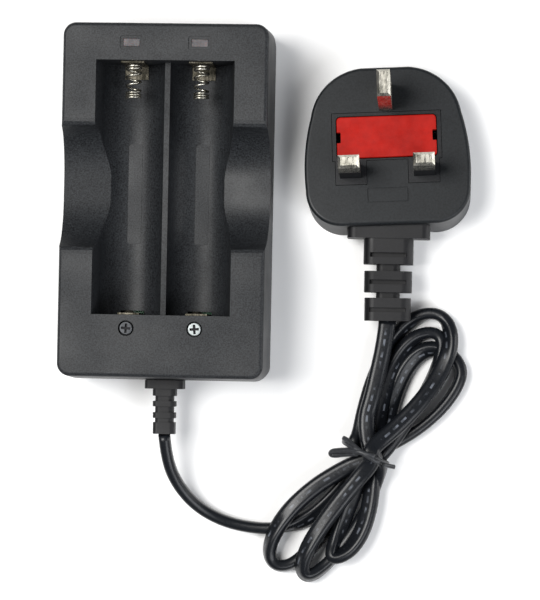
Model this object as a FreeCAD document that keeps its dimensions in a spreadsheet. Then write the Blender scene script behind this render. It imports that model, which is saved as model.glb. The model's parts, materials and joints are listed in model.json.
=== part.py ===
"""Two-bay desk charger for cylindrical cells, with its tied mains lead and moulded plug.

Millimetres. +Z is up, +Y runs along the bays towards the status windows, and the
origin is the centre of the charger's base, on the surface that it stands on.
"""
import FreeCAD
import Part
import math
import os
import Sketcher
from FreeCAD import Placement, Rotation, Vector

DRIVING_SIZES = [
    # alias, millimetres or degrees, meaning
    ("case_width", 63.0, "width at the joint between the two shells"),
    ("case_length", 107.0, "length at the joint between the two shells"),
    ("case_height", 32.0, "height of the top face"),
    ("case_corner", 4.6, "corner radius at the joint"),
    ("joint_height", 14.0, "height of the joint between the two shells"),
    ("cover_draft", 2.6, "draft of the upper shell, in degrees"),
    ("case_draft", 2.8, "draft of the lower shell, in degrees"),
    ("hollow_width", 59.0, "width of the upper shell's hollow at the joint"),
    ("hollow_length", 103.0, "length of the upper shell's hollow at the joint"),
    ("top_rounding", 1.2, "rounding round the top face"),
    ("wall", 2.0, "wall thickness of both shells"),
    ("thin_wall", 1.2, "thickness of the bays' lower end wall"),
    ("lip_height", 1.5, "height of the locating lip"),
    ("lip_gap", 0.12, "gap between the lip and the upper shell"),
    ("bay_pitch", 20.4, "distance between the two bay axes"),
    ("bay_radius", 9.4, "radius of the half-round channels"),
    ("bay_axis", 24.6, "height of the bay axes"),
    ("bay_start", -34.2, "lower end wall of the bays"),
    ("bay_end", 41.6, "upper end wall of the bays"),
    ("bay_mouth", 41.4, "width of the shared mouth at the top face"),
    ("scoop_radius", 15.6, "radius of the finger scoops' rounded sides"),
    ("scoop_flat", 3.0, "half the length of the scoops' flat bottom"),
    ("scoop_floor", 18.8, "height of the scoop floor beside the bays"),
    ("scoop_rounding", 2.0, "rounding where the scoops meet the top face"),
    ("scoop_centre", 3.9, "place of the scoops along the bays"),
    ("scoop_slope", 8.0, "rise of the scoop floor towards the outside, in degrees"),
    ("screw_x", 10.2, "case screw from the centre line"),
    ("screw_y", -38.2, "case screws along the bays"),
    ("screw_head", 4.1, "diameter of the screw head"),
    ("screw_recess", 4.7, "diameter of the counterbore"),
    ("screw_shank", 2.3, "diameter of the screw shank"),
    ("boss_diameter", 5.2, "diameter of the screw bosses"),
    ("window_y", 46.8, "status windows along the bays"),
    ("window_wide", 7.0, "width of a window frame"),
    ("window_tall", 4.1, "height of a window frame"),
    ("lens_wide", 4.9, "width of a window"),
    ("lens_tall", 2.4, "height of a window"),
    ("board_top", 5.6, "height of the circuit board's upper face"),
    ("board_thick", 1.6, "thickness of the circuit board"),
    ("board_width", 54.0, "width of the circuit board"),
    ("board_length", 99.0, "length of the circuit board"),
    ("spring_radius", 2.2, "mean radius of a contact spring"),
    ("spring_wire", 0.65, "wire diameter of a contact spring"),
    ("spring_base", 41.05, "fixed end of the springs"),
    ("spring_close", 32.7, "where the closed end coils begin"),
    ("spring_tip", 30.4, "free end of the springs"),
    ("sheet_metal", 0.4, "thickness of the contact plates"),
    ("cord_width", 5.2, "width of the flat twin lead"),
    ("relief_height", 14.0, "height of the lead's axis at the charger"),
    ("plug_x", 65.8, "plug face centre"),
    ("plug_y", 18.5, "plug face centre"),
    ("plug_z", 16.5, "plug face centre"),
    ("plug_yaw", 2.9, "turn of the plug about the vertical, in degrees"),
    ("plug_lean", 6.0, "tilt of the plug's face towards +Y, in degrees"),
    ("plug_half_width", 24.8, "half the width of the plug's face"),
    ("plug_half_length", 24.0, "half the length of the plug's face"),
    ("pin_spread", 22.23, "live to neutral, and earth to their line"),
    ("pin_line", -7.7, "line of the live and neutral pins on the face"),
    ("pin_width", 6.35, "width of the live and neutral pins"),
    ("pin_thick", 4.0, "thickness of all three pins"),
    ("pin_reach", 17.7, "length of the live and neutral pins"),
    ("earth_width", 8.0, "width of the earth pin"),
    ("earth_reach", 22.73, "length of the earth pin"),
    ("pin_root", 7.0, "length of each pin inside the plug"),
    ("sleeve_reach", 9.3, "length of the insulating sleeves"),
    ("carrier_wide", 30.0, "width of the fuse carrier"),
    ("carrier_tall", 12.6, "height of the fuse carrier"),
    ("carrier_y", 2.6, "centre of the fuse carrier on the face"),
    ("carrier_deep", 9.7, "depth of the fuse recess"),
    ("carrier_gap", 0.25, "gap round the fuse carrier"),
    ("fuse_radius", 3.15, "radius of the cartridge fuse"),
    ("fuse_length", 25.4, "length of the cartridge fuse"),
    ("fuse_depth", 5.2, "depth of the fuse axis below the face"),
]

# The lead from the charger to the hank, as the corners that its arcs round off.
CHARGER_LEAD = [
    (0.0, -69.8, 14.0),
    (0.7, -77.5, 12.4),
    (3.8, -85.4, 8.7),
    (9.6, -92.2, 5.0),
    (17.8, -96.6, 3.0),
    (27.0, -98.4, 2.7),
    (34.0, -98.3, 2.75),
]

# The lead from the hank's waist to the plug's relief.
PLUG_LEAD = [
    (66.8, -34.1, 9.4),
    (66.1, -41.0, 9.1),
    (64.4, -49.2, 8.5),
    (62.7, -57.4, 8.6),
    (60.6, -64.6, 8.3),
]

# Outline of the hank's two bundles of loops, seen from above.
UPPER_LOOPS = [
    (58.6, -70.5), (60.4, -60.0), (64.8, -48.0), (71.8, -38.0), (79.6, -31.4), (87.0, -36.5),
    (90.4, -50.0), (84.6, -62.5), (72.0, -71.5), (64.5, -74.0),
]
UPPER_GAP = [(73.0, -60.0), (75.6, -51.0), (80.4, -46.8), (83.4, -47.6), (78.6, -54.6)]
LOWER_LOOPS = [
    (55.0, -77.5), (46.0, -82.0), (36.5, -91.0), (30.4, -103.5), (35.0, -111.2), (45.5, -112.6),
    (53.0, -107.4), (61.0, -100.0), (63.4, -89.0), (66.0, -79.5),
]
LOWER_GAP = [(34.4, -106.4), (36.0, -99.8), (40.6, -97.0), (40.6, -102.0), (38.4, -106.8)]

os.makedirs("parts", exist_ok=True)
doc = FreeCAD.newDocument("CellCharger")
sheet = doc.addObject("Spreadsheet::Sheet", "Sizes")
for row, (alias, value, meaning) in enumerate(DRIVING_SIZES, start=1):
    sheet.set("A%d" % row, meaning)
    sheet.set("B%d" % row, str(value))
    sheet.setAlias("B%d" % row, alias)
doc.recompute()

nodes = []


def size(alias):
    """A driving size from the sheet."""
    return float(sheet.get(alias))


def bound(alias):
    """The expression that reads a size from the sheet."""
    return "Sizes." + alias


def node(obj, name, placement=None):
    """Name a finished sub-part and put it in its place."""
    obj.Label = name
    if placement is not None:
        obj.Placement = placement
    nodes.append(obj)
    return obj


def plug_placement():
    """The plug lies on its back, its face leaning towards +Y."""
    turn = Rotation(Vector(0, 0, 1), size("plug_yaw"))
    lean = Rotation(Vector(1, 0, 0), -size("plug_lean"))
    return Placement(Vector(size("plug_x"), size("plug_y"), size("plug_z")), turn.multiply(lean))


# ---------------------------------------------------------------- sketches and features


def new_body(name):
    return doc.addObject("PartDesign::Body", name + "_body")


def new_sketch(body, name, role="XY_Plane", offset="0"):
    """An empty sketch on one of the body's origin planes, moved along its normal."""
    sketch = body.newObject("Sketcher::SketchObject", name)
    plane = next(item for item in body.Origin.OriginFeatures if item.Role == role)
    sketch.AttachmentSupport = [(plane, "")]
    sketch.MapMode = "FlatFace"
    sketch.setExpression("AttachmentOffset.Base.z", offset)
    return sketch


def constrain(sketch, expression, *definition):
    """Add a dimension to a sketch and bind it to an expression."""
    value = float(sketch.evalExpression(expression))
    index = sketch.addConstraint(Sketcher.Constraint(*definition, value))
    sketch.setExpression("Constraints[%d]" % index, expression)


def rectangle(sketch, wide, tall, radius, centre=("0", "0")):
    """A rounded rectangle, sized and placed by expressions."""
    w, t, r, x, y = (float(sketch.evalExpression(e)) for e in (wide, tall, radius, *centre))
    left, right, low, high = x - w / 2, x + w / 2, y - t / 2, y + t / 2
    sides = [
        (Vector(left + r, low, 0), Vector(right - r, low, 0)),
        (Vector(right, low + r, 0), Vector(right, high - r, 0)),
        (Vector(right - r, high, 0), Vector(left + r, high, 0)),
        (Vector(left, high - r, 0), Vector(left, low + r, 0)),
    ]
    corners = [(right - r, low + r), (right - r, high - r), (left + r, high - r), (left + r, low + r)]
    first = sketch.GeometryCount
    for quarter, ((start, end), (cx, cy)) in enumerate(zip(sides, corners)):
        sketch.addGeometry(Part.LineSegment(start, end))
        circle = Part.Circle(Vector(cx, cy, 0), Vector(0, 0, 1), r)
        angle = (quarter - 1) * math.pi / 2
        sketch.addGeometry(Part.ArcOfCircle(circle, angle, angle + math.pi / 2))
    bottom, side, top, other = first, first + 2, first + 4, first + 6
    for step in range(8):
        after = first + (step + 1) % 8
        sketch.addConstraint(Sketcher.Constraint("Tangent", first + step, 2, after, 1))
    for level_line, upright_line in ((bottom, side), (top, other)):
        sketch.addConstraint(Sketcher.Constraint("Horizontal", level_line))
        sketch.addConstraint(Sketcher.Constraint("Vertical", upright_line))
    for arc in (3, 5, 7):
        sketch.addConstraint(Sketcher.Constraint("Equal", first + 1, first + arc))
    constrain(sketch, radius, "Radius", first + 1)
    constrain(sketch, wide, "DistanceX", other, 1, side, 1)
    constrain(sketch, tall, "DistanceY", bottom, 1, top, 1)
    constrain(sketch, "%s - (%s) / 2" % (centre[0], wide), "DistanceX", -1, 1, other, 1)
    constrain(sketch, "%s - (%s) / 2" % (centre[1], tall), "DistanceY", -1, 1, bottom, 1)


def sharp_rectangle(sketch, wide, tall, centre):
    """A rectangle with sharp corners, sized and placed by expressions."""
    w, t, x, y = (float(sketch.evalExpression(e)) for e in (wide, tall, *centre))
    corners = [Vector(x + i * w / 2, y + j * t / 2, 0) for i, j in ((-1, -1), (1, -1), (1, 1), (-1, 1))]
    first = sketch.GeometryCount
    for place in range(4):
        sketch.addGeometry(Part.LineSegment(corners[place], corners[(place + 1) % 4]))
    for place in range(4):
        after = first + (place + 1) % 4
        sketch.addConstraint(Sketcher.Constraint("Coincident", first + place, 2, after, 1))
        direction = ("Horizontal", "Vertical")[place % 2]
        sketch.addConstraint(Sketcher.Constraint(direction, first + place))
    constrain(sketch, wide, "DistanceX", first, 1, first, 2)
    constrain(sketch, tall, "DistanceY", first + 1, 1, first + 1, 2)
    constrain(sketch, "%s - (%s) / 2" % (centre[0], wide), "DistanceX", -1, 1, first, 1)
    constrain(sketch, "%s - (%s) / 2" % (centre[1], tall), "DistanceY", -1, 1, first, 1)


def polygon(sketch, points):
    """A closed outline of straight lines through points worked out from the sizes."""
    for start, end in zip(points, points[1:] + points[:1]):
        sketch.addGeometry(Part.LineSegment(Vector(*start, 0), Vector(*end, 0)))


def circle(sketch, radius, centre=("0", "0")):
    """A circle, sized and placed by expressions."""
    r, x, y = (float(sketch.evalExpression(e)) for e in (radius, *centre))
    index = sketch.addGeometry(Part.Circle(Vector(x, y, 0), Vector(0, 0, 1), r))
    constrain(sketch, radius, "Radius", index)
    constrain(sketch, centre[0], "DistanceX", -1, 1, index, 3)
    constrain(sketch, centre[1], "DistanceY", -1, 1, index, 3)


def pad(body, sketch, name, length, reverse=False, draft=None):
    feature = body.newObject("PartDesign::Pad", name)
    feature.Profile = sketch
    feature.setExpression("Length", length)
    feature.Reversed = reverse
    if draft:
        feature.setExpression("TaperAngle", draft)
    return feature


def check_cut(feature, before, name):
    """A cut has to take something away."""
    doc.recompute()
    if not feature.Shape.Volume < before - 1e-3:
        raise RuntimeError("%s cut nothing" % name)


def pocket(body, sketch, name, length, reverse=False, draft=None):
    doc.recompute()
    before = body.Tip.Shape.Volume
    feature = body.newObject("PartDesign::Pocket", name)
    feature.Profile = sketch
    feature.setExpression("Length", length)
    feature.Reversed = reverse
    if draft:
        feature.setExpression("TaperAngle", draft)
    check_cut(feature, before, name)
    return feature


def round_edges(body, kind, name, reach, wanted):
    """Round or chamfer the edges of the body that the test picks."""
    doc.recompute()
    base = body.Tip
    edges = ["Edge%d" % number for number, edge in enumerate(base.Shape.Edges, start=1) if wanted(edge)]
    if not edges:
        raise RuntimeError("%s found no edges" % name)
    feature = body.newObject("PartDesign::" + kind, name)
    feature.Base = (base, edges)
    feature.setExpression("Radius" if kind == "Fillet" else "Size", reach)
    doc.recompute()
    return feature


def level(edge, height):
    """Is the whole edge at this height?"""
    box = edge.BoundBox
    return abs(box.ZMin - height) < 1e-4 and abs(box.ZMax - height) < 1e-4


# ---------------------------------------------------------------- Part primitives


def block(name, lengths, centre, low):
    """A box of fixed lengths over a point of the board or face, from a low height."""
    obj = doc.addObject("Part::Box", name)
    for prop, expression in zip(("Length", "Width", "Height"), lengths):
        obj.setExpression(prop, expression)
    obj.setExpression("Placement.Base.x", "%s - Length / 2 / 1mm" % centre[0])
    obj.setExpression("Placement.Base.y", "%s - Width / 2 / 1mm" % centre[1])
    obj.setExpression("Placement.Base.z", low)
    return obj


def rod(name, radius, length, start, direction):
    """A cylinder from a start point along a direction."""
    obj = doc.addObject("Part::Cylinder", name)
    obj.setExpression("Radius", radius)
    obj.setExpression("Height", length)
    obj.Placement.Rotation = Rotation(Vector(0, 0, 1), direction)
    for axis, expression in zip("xyz", start):
        obj.setExpression("Placement.Base." + axis, expression)
    return obj


def fuse(name, shapes):
    obj = doc.addObject("Part::MultiFuse", name)
    obj.Shapes = shapes
    return obj


def cut(name, base, tool):
    obj = doc.addObject("Part::Cut", name)
    obj.Base = base
    obj.Tool = tool
    return obj


def feature(name, shape, placement=None):
    """A free-form shape as a sub-part of its own."""
    obj = doc.addObject("Part::Feature", name + "_shape")
    obj.Shape = shape
    return node(obj, name, placement)


# ---------------------------------------------------------------- tubes


def rounded_path(points, radii_name):
    """Straight runs joined by tangent arcs, each as large as its two runs allow."""
    corners = [Vector(*point) for point in points]
    edges = []
    radii = []
    start = corners[0]
    for before, corner, after in zip(corners, corners[1:], corners[2:]):
        into = corner.sub(before)
        out = after.sub(corner)
        turn = into.getAngle(out)
        trim = 0.45 * min(into.Length, out.Length)
        radii.append(trim / math.tan(turn / 2))
        arc_start = corner.sub(Vector(into).normalize().multiply(trim))
        arc_end = corner.add(Vector(out).normalize().multiply(trim))
        inward = arc_start.add(arc_end).multiply(0.5).sub(corner).normalize()
        reach = radii[-1] * (1 / math.cos(turn / 2) - 1)
        middle = corner.add(inward.multiply(reach))
        edges.append(Part.LineSegment(start, arc_start).toShape())
        edges.append(Part.Arc(arc_start, middle, arc_end).toShape())
        start = arc_end
    edges.append(Part.LineSegment(start, corners[-1]).toShape())
    path = Part.Wire(edges)
    if radii_name:
        rounded = ", ".join("%.0f" % value for value in radii)
        print("%s: length %.1f, arc radii %s" % (radii_name, path.Length, rounded))
    return path


def tube(points, radius, radii_name=""):
    """A round tube along a path of runs and arcs."""
    path = rounded_path(points, radii_name)
    start = Vector(*points[0])
    along = Vector(*points[1]).sub(start)
    ring = Part.Wire([Part.Circle(start, along, radius).toShape()])
    solid = path.makePipeShell([ring], True, False)
    expected = math.pi * radius ** 2 * path.Length
    if abs(solid.Volume - expected) > 0.01 * expected:
        raise RuntimeError("tube volume %.2f, expected %.2f" % (solid.Volume, expected))
    return solid


# ---------------------------------------------------------------- charger case


def shell_blank(body, height, reverse, draft):
    """A drafted block that shrinks away from the joint between the shells."""
    sketch = new_sketch(body, body.Name + "_outline", offset=bound("joint_height"))
    rectangle(sketch, bound("case_width"), bound("case_length"), bound("case_corner"))
    pad(body, sketch, body.Name + "_blank", height, reverse, "-" + draft)


def cut_scoops(body):
    """One finger scoop a side: a flat bottom between two arcs, rising outwards across the wall."""
    inner = size("bay_pitch") / 2
    slope = math.radians(size("scoop_slope"))
    radius = size("scoop_radius")
    flat = size("scoop_flat")
    reach = size("bay_mouth") / 2 - inner
    floor = size("scoop_floor") - reach * math.tan(slope)
    for side, word in ((-1, "left"), (1, "right")):
        along = Vector(side * math.cos(slope), 0, math.sin(slope))
        normal = Vector(-side * math.sin(slope), 0, math.cos(slope))
        for end, shift in (("near", -flat), ("far", flat)):
            doc.recompute()
            before = body.Tip.Shape.Volume
            scoop = body.newObject("PartDesign::SubtractiveCylinder", "scoop_%s_%s" % (word, end))
            scoop.setExpression("Radius", bound("scoop_radius"))
            scoop.setExpression("Height", bound("case_width") + " / 2")
            start = Vector(side * inner, size("scoop_centre") + shift, floor).add(normal * radius)
            scoop.Placement = Placement(start, Rotation(Vector(0, 0, 1), along))
            check_cut(scoop, before, scoop.Name)
        doc.recompute()
        before = body.Tip.Shape.Volume
        scoop = body.newObject("PartDesign::SubtractiveBox", "scoop_%s_flat" % word)
        scoop.setExpression("Length", bound("case_width") + " / 2")
        scoop.setExpression("Width", "2 * Sizes.scoop_flat")
        scoop.setExpression("Height", bound("scoop_radius"))
        corner = Vector(side * inner, size("scoop_centre") - side * flat, floor)
        turn = Rotation(along, Vector(0, side, 0), normal, "XZY")
        scoop.Placement = Placement(corner, turn)
        check_cut(scoop, before, scoop.Name)


def flare_scoops(body):
    """Round each scoop's end walls over into the top face, in four facets."""
    top = size("case_height")
    reach = size("scoop_rounding")
    rise = (size("case_width") - size("bay_mouth")) / 2 * math.tan(math.radians(size("scoop_slope")))
    radius = size("scoop_radius")
    depth = size("scoop_floor") + rise + radius - (top - reach)
    half = size("scoop_flat") + math.sqrt(radius ** 2 - depth ** 2)
    wide = 1.4 * reach
    clear = 0.2
    facets = 4
    for end, word in ((-1, "near"), (1, "far")):
        profile = [(half - 1, top + clear), (half + wide, top + clear)]
        for step in range(facets + 1):
            angle = math.pi / 2 * (1 + step / facets)
            profile.append((half + wide * (1 + math.cos(angle)), top - reach * (1 - math.sin(angle))))
        profile.append((half - 1, top - reach))
        sketch = new_sketch(body, "scoop_flare_" + word, "YZ_Plane", "-Sizes.case_width")
        polygon(sketch, [(size("scoop_centre") + end * y, z) for y, z in profile])
        pocket(body, sketch, "scoop_flare_cut_" + word, "2 * Sizes.case_width", reverse=True)


def cut_bays(body):
    """The shared mouth, then a half-round channel for each cell."""
    length = "(Sizes.bay_end - Sizes.bay_start)"
    top, axis, over = size("case_height"), size("bay_axis"), 1.0
    mouth = size("bay_mouth") / 2
    waist = size("bay_pitch") / 2 + size("bay_radius") - 0.01
    sloped = new_sketch(body, "mouth", "XZ_Plane", "-Sizes.bay_end")
    polygon(sloped, [(-mouth, top + over), (-mouth, top), (-waist, axis), (waist, axis), (mouth, top),
                     (mouth, top + over)])
    pocket(body, sloped, "mouth_cut", length, reverse=True)
    channels = new_sketch(body, "channels", "XZ_Plane", "-Sizes.bay_end")
    for side in ("-", ""):
        circle(channels, bound("bay_radius"), (side + "Sizes.bay_pitch / 2", bound("bay_axis")))
    pocket(body, channels, "channel_cut", length, reverse=True)


def add_polarity_panels(body):
    """A flat moulded panel on each channel floor."""
    sketch = new_sketch(body, "panels", offset="Sizes.bay_axis - Sizes.bay_radius - 0.2")
    for side in ("-", ""):
        rectangle(sketch, "4.1", "30.2", "0.8", (side + "Sizes.bay_pitch / 2", "2.6"))
    pad(body, sketch, "panel_pads", "0.55")


def make_top_cover():
    body = new_body("top_cover")
    shell_blank(body, "Sizes.case_height - Sizes.joint_height", False, bound("cover_draft"))
    round_edges(body, "Fillet", "top_rounding", bound("top_rounding"), lambda e: level(e, size("case_height")))

    hollow = new_sketch(body, "cover_hollow", offset=bound("joint_height"))
    rectangle(hollow, bound("hollow_width"), bound("hollow_length"), "2.4")
    depth = "Sizes.case_height - Sizes.joint_height - Sizes.wall"
    pocket(body, hollow, "cover_hollow_cut", depth, reverse=True, draft="-Sizes.cover_draft")

    walls = new_sketch(body, "bay_walls", offset="Sizes.joint_height - 0.8")
    bay_wide = "Sizes.bay_mouth + 2 * Sizes.wall"
    bay_tall = "Sizes.bay_end - Sizes.bay_start + Sizes.wall + Sizes.thin_wall"
    bay_middle = "((Sizes.bay_end + Sizes.bay_start + Sizes.wall - Sizes.thin_wall) / 2)"
    rectangle(walls, bay_wide, bay_tall, "1", ("0", bay_middle))
    pad(body, walls, "bay_wall_pad", "Sizes.case_height - Sizes.joint_height - 0.2")
    shoulder_low = "Sizes.joint_height + Sizes.lip_height + 0.1"
    shoulders = new_sketch(body, "scoop_shoulders", offset=shoulder_low)
    shoulder_long = "2 * (Sizes.scoop_radius + Sizes.scoop_flat) + 3"
    rectangle(shoulders, "Sizes.hollow_width + 1.6", shoulder_long, "1", ("0", bound("scoop_centre")))
    pad(body, shoulders, "scoop_shoulder_pad", "Sizes.case_height - 1 - (%s)" % shoulder_low)
    bosses = new_sketch(body, "cover_bosses", offset="Sizes.case_height - Sizes.wall - 4")
    for side in ("-", ""):
        circle(bosses, "Sizes.boss_diameter / 2", (side + "Sizes.screw_x", bound("screw_y")))
    pad(body, bosses, "cover_boss_pads", "5")

    cut_bays(body)
    cut_scoops(body)
    flare_scoops(body)
    add_polarity_panels(body)

    frames = new_sketch(body, "window_frames", offset=bound("case_height"))
    lenses = new_sketch(body, "window_holes", offset=bound("case_height"))
    for side in ("-", ""):
        place = (side + "Sizes.bay_pitch / 2", bound("window_y"))
        rectangle(frames, bound("window_wide"), bound("window_tall"), "0.8", place)
        rectangle(lenses, "Sizes.lens_wide + 0.1", "Sizes.lens_tall + 0.1", "0.45", place)
    pocket(body, frames, "window_frame_cut", "0.35")
    pocket(body, lenses, "window_hole_cut", "Sizes.wall + 0.5")

    recesses = new_sketch(body, "screw_recesses", offset=bound("case_height"))
    shanks = new_sketch(body, "screw_holes", offset=bound("case_height"))
    for side in ("-", ""):
        place = (side + "Sizes.screw_x", bound("screw_y"))
        circle(recesses, "Sizes.screw_recess / 2", place)
        circle(shanks, "Sizes.screw_shank / 2 + 0.2", place)
    pocket(body, recesses, "screw_recess_cut", "2")
    pocket(body, shanks, "screw_hole_cut", "8")

    slots = new_sketch(body, "contact_slots", offset=bound("bay_axis"))
    for side in ("-", ""):
        across = side + "Sizes.bay_pitch / 2"
        rectangle(slots, "7.3", "1.5", "0.2", (across, "Sizes.bay_start + 0.75"))
        rectangle(slots, "3.4", "0.9", "0.2", (across, "Sizes.bay_end - 0.45"))
    pocket(body, slots, "contact_slot_cut", "Sizes.bay_axis - Sizes.joint_height + 2")

    notch = new_sketch(body, "cover_relief_notch", "XZ_Plane", "Sizes.case_length / 2 - Sizes.wall - 1")
    rectangle(notch, "5.9", "6.1", "1", ("0", bound("relief_height")))
    pocket(body, notch, "cover_relief_cut", "Sizes.wall + 3", reverse=True)
    node(body, "top_cover")


def make_bottom_case():
    body = new_body("bottom_case")
    shell_blank(body, bound("joint_height"), True, bound("case_draft"))
    round_edges(body, "Fillet", "base_rounding", "1", lambda e: level(e, 0))
    hollow = new_sketch(body, "case_hollow", offset=bound("joint_height"))
    wide = "Sizes.hollow_width - 2 * Sizes.lip_gap - 2"
    tall = "Sizes.hollow_length - 2 * Sizes.lip_gap - 2"
    rectangle(hollow, wide, tall, "1.4")
    pocket(body, hollow, "case_hollow_cut", "Sizes.joint_height - Sizes.wall")

    lip = new_sketch(body, "lip", offset=bound("joint_height"))
    rectangle(lip, wide + " + 2", tall + " + 2", "2.3")
    rectangle(lip, wide, tall, "1.4")
    pad(body, lip, "lip_pad", bound("lip_height"))

    floor = "Sizes.wall - 0.5"
    bosses = new_sketch(body, "case_bosses", offset=floor)
    for side in ("-", ""):
        circle(bosses, "Sizes.boss_diameter / 2", (side + "Sizes.screw_x", bound("screw_y")))
    pad(body, bosses, "case_boss_pads", "Sizes.case_height - Sizes.wall - 4.2 - (%s)" % floor)
    posts = new_sketch(body, "board_posts", offset=floor)
    for side in ("-", ""):
        for end in ("-", ""):
            circle(posts, "2.5", (side + "23.5", end + "45"))
    pad(body, posts, "board_post_pads", "Sizes.board_top - Sizes.board_thick - (%s)" % floor)
    pilots = new_sketch(body, "pilot_holes", offset="Sizes.case_height - Sizes.wall - 4.2")
    for side in ("-", ""):
        circle(pilots, "Sizes.screw_shank / 2", (side + "Sizes.screw_x", bound("screw_y")))
    pocket(body, pilots, "pilot_cut", "12")

    notch = new_sketch(body, "case_relief_notch", "XZ_Plane", "Sizes.case_length / 2 - Sizes.wall - 3")
    rectangle(notch, "5.9", "6.1", "1", ("0", bound("relief_height")))
    pocket(body, notch, "case_relief_cut", "Sizes.wall + 5", reverse=True)
    label = new_sketch(body, "rating_recess")
    rectangle(label, "34", "24", "2")
    pocket(body, label, "rating_recess_cut", "0.4", reverse=True)
    node(body, "bottom_case")


def make_case_screws():
    """Two self-tapping screws with cross recesses, as one group."""
    head_high = 1.7
    cross_long, cross_wide = 2.8, 0.75
    head_low = size("case_height") - size("wall")
    solids = []
    for side in (-1, 1):
        middle = Vector(side * size("screw_x"), size("screw_y"), head_low)
        head = Part.makeCylinder(size("screw_head") / 2, head_high, middle)
        head = head.makeFillet(0.35, [edge for edge in head.Edges if level(edge, head_low + head_high)])
        shank = Part.makeCylinder(size("screw_shank") / 2 - 0.02, 14.5, middle.sub(Vector(0, 0, 14.5)))
        screw = head.fuse(shank)
        for turn in (4, 94):
            bar = Part.makeBox(cross_long, cross_wide, 1.1, Vector(-cross_long / 2, -cross_wide / 2, 0))
            bar.Placement = Placement(middle.add(Vector(0, 0, 0.7)), Rotation(Vector(0, 0, 1), turn * side))
            screw = screw.cut(bar)
        solids.append(screw.removeSplitter())
    feature("case_screws", Part.makeCompound(solids))


def make_windows():
    """A flanged milky window over each status LED."""
    for side, word in (("-", "left"), ("", "right")):
        body = new_body("led_window_" + word)
        place = (side + "Sizes.bay_pitch / 2", bound("window_y"))
        stem = new_sketch(body, "stem_" + word, offset="Sizes.case_height - Sizes.wall - 0.9")
        rectangle(stem, bound("lens_wide"), bound("lens_tall"), "0.4", place)
        pad(body, stem, "stem_pad_" + word, "Sizes.wall + 0.8")
        flange = new_sketch(body, "flange_" + word, offset="Sizes.case_height - Sizes.wall - 0.9")
        rectangle(flange, "Sizes.lens_wide + 1.4", "Sizes.lens_tall + 1.4", "0.6", place)
        pad(body, flange, "flange_pad_" + word, "0.85")
        top = size("case_height") - 0.1
        round_edges(body, "Fillet", "lens_rounding_" + word, "0.25", lambda e: level(e, top))
        node(body, "led_window_" + word)


# ---------------------------------------------------------------- contacts and electronics


def helix_solid(radius, wire, pitch, length):
    """A round wire wound about Z from the origin."""
    helix = Part.makeHelix(pitch, length, radius)
    climb = math.atan2(pitch, 2 * math.pi * radius)
    along = Vector(0, math.cos(climb), math.sin(climb))
    ring = Part.Wire([Part.Circle(Vector(radius, 0, 0), along, wire / 2).toShape()])
    return helix.makePipeShell([ring], True, True)


def make_springs():
    """Active coils that shorten, and closed end coils that ride on the cell."""
    wire = size("spring_wire")
    along = Rotation(Vector(0, 0, 1), Vector(0, -1, 0))
    spans = (
        ("negative_spring_", size("spring_base") - wire / 2, size("spring_close") + wire / 2 + 0.05, 3.25),
        ("negative_spring_tip_", size("spring_close") - wire / 2, size("spring_tip") + wire / 2, 1.5),
    )
    for side, word in ((-1, "left"), (1, "right")):
        for name, start, end, turns in spans:
            length = start - end
            solid = helix_solid(size("spring_radius"), wire, length / turns, length)
            middle = Vector(side * size("bay_pitch") / 2, start, size("bay_axis"))
            feature(name + word, solid, Placement(middle, along))


def make_negative_plates():
    """An upright plate behind each spring, a foot on the bay floor and a tail to the board."""
    for side, word in (("-", "left"), ("", "right")):
        across = side + "Sizes.bay_pitch / 2"
        back = "Sizes.bay_end - 0.05 - Sizes.sheet_metal / 2"
        lowest = "Sizes.bay_axis - 8.65"
        metal = bound("sheet_metal")
        upright_part = block("plate_" + word, ("7", metal, "12.6"), (across, back), lowest)
        foot = block("foot_" + word, ("7", "4.3", metal), (across, "Sizes.bay_end - 2.2"), lowest)
        tail_height = "Sizes.bay_axis - 8.6 - Sizes.board_top"
        tail = block("tail_" + word, ("2.6", metal, tail_height), (across, back), bound("board_top"))
        node(fuse("negative_plate_" + word, [upright_part, foot, tail]), "negative_contact_plate_" + word)


def make_positive_contacts():
    """A strip in each lower slot, with a round dimple that meets the cell."""
    for side, word in (("-", "left"), ("", "right")):
        across = side + "Sizes.bay_pitch / 2"
        middle = "Sizes.bay_start + 0.4"
        strip = block("strip_" + word, ("6.4", "0.5", "21.4"), (across, middle), bound("board_top"))
        dimple = doc.addObject("Part::Cone", "dimple_" + word)
        dimple.Radius1 = 1.9
        dimple.Radius2 = 1.1
        dimple.Height = 1.0
        dimple.Placement.Rotation = Rotation(Vector(0, 0, 1), Vector(0, 1, 0))
        for axis, expression in zip("xyz", (across, middle, bound("bay_axis"))):
            dimple.setExpression("Placement.Base." + axis, expression)
        node(fuse("positive_" + word, [strip, dimple]), "positive_contact_" + word)


def make_board():
    body = new_body("circuit_board")
    outline = new_sketch(body, "board_outline", offset=bound("board_top"))
    rectangle(outline, bound("board_width"), bound("board_length"), "1.5")
    pad(body, outline, "board_pad", bound("board_thick"), reverse=True)
    holes = new_sketch(body, "board_holes", offset=bound("board_top"))
    for side in ("-", ""):
        circle(holes, "Sizes.boss_diameter / 2 + 0.4", (side + "Sizes.screw_x", bound("screw_y")))
    pocket(body, holes, "board_hole_cut", "Sizes.board_thick + 1")
    node(body, "circuit_board")


def on_board(extra="0"):
    """A height just over the board."""
    return "Sizes.board_top + 0.02 + %s" % extra


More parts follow.
